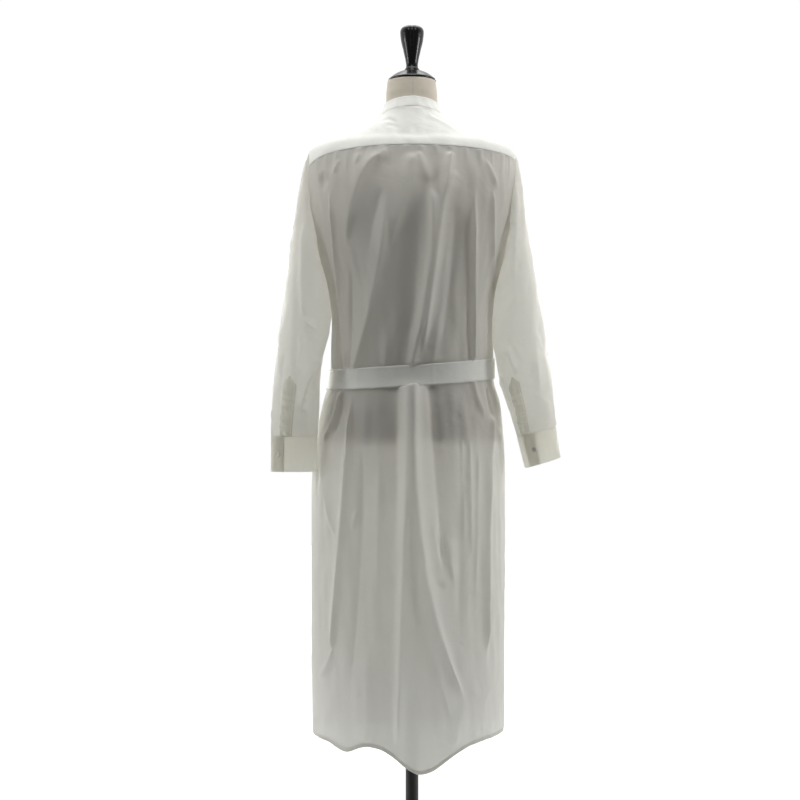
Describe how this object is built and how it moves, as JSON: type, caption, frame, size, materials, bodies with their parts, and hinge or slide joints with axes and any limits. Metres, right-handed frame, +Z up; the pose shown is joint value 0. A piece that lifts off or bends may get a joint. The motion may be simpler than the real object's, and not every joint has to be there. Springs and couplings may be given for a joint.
{
  "type": "shirt dress on a limbless dress form",
  "caption": "Long-sleeved collarless shirt dress with a back yoke, tie belt and shirt-tail hem, standing on a limbless dress form with a round base.",
  "frame": {"origin": "on the floor, at the middle of the base's flat underside, under the pole", "axes": "+Z up along the pole; the dress front faces -Y and its back +Y; +X is the wearer's left"},
  "size_m": [0.5388, 0.38, 1.5655],
  "materials": {
    "cloth": "thin white cotton broadcloth, matt, slightly see-through",
    "pearl_button": "pale pearl resin",
    "form_linen": "natural linen cover stretched over the form",
    "black_lacquer": "gloss black lacquer",
    "black_steel": "black enamelled steel"
  },
  "bodies": {
    "root": {"back": "cloth", "front_left": "cloth", "front_right": "cloth", "yoke": "cloth", "collar_band": "cloth", "front_placket": "cloth", "belt": "cloth", "belt_knot": "cloth", "belt_tail_left": "cloth", "belt_tail_right": "cloth", "sleeve_left": "cloth", "sleeve_right": "cloth", "sleeve_placket_left": "cloth", "sleeve_placket_right": "cloth", "cuff_left": "cloth", "cuff_right": "cloth", "cuff_button_left": "pearl_button", "cuff_button_right": "pearl_button", "collar_button": "pearl_button", "front_button_1": "pearl_button", "front_button_2": "pearl_button", "front_button_3": "pearl_button", "front_button_4": "pearl_button", "front_button_5": "pearl_button", "front_button_6": "pearl_button", "front_button_7": "pearl_button", "front_button_8": "pearl_button", "front_button_9": "pearl_button", "front_button_10": "pearl_button", "front_button_11": "pearl_button", "torso": "form_linen", "neck_cap": "black_lacquer", "finial": "black_lacquer", "pole": "black_steel", "base": "black_steel"}
  },
  "joints": []
}
